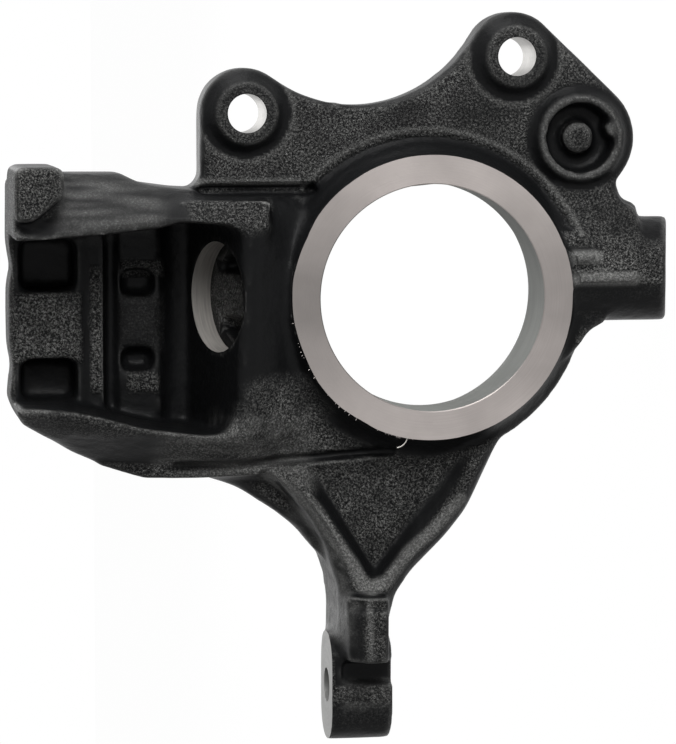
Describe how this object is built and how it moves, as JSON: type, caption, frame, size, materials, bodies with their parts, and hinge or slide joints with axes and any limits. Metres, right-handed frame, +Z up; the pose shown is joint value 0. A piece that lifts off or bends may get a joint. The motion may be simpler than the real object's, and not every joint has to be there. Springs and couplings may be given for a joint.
{
  "type": "steering knuckle",
  "caption": "One-piece cast steering knuckle: machined hub bearing bore, caliper ears, open strut seat, steering arm with tie rod eye and a lower ball joint boss.",
  "frame": {"origin": "on the wheel axis, in the plane of the machined hub face, where the bearing goes in", "axes": "+Y outboard along the wheel axis, +Z up to the strut seat, +X forward to the caliper ears; the knuckle stands as it is fitted"},
  "size_m": [0.2672, 0.062, 0.2481],
  "materials": {
    "cast_paint": "gloss black paint over rough sand-cast iron",
    "machined": "bare turned and drilled iron, fine tool marks"
  },
  "bodies": {
    "root": {"knuckle_casting": "cast_paint"}
  },
  "joints": []
}
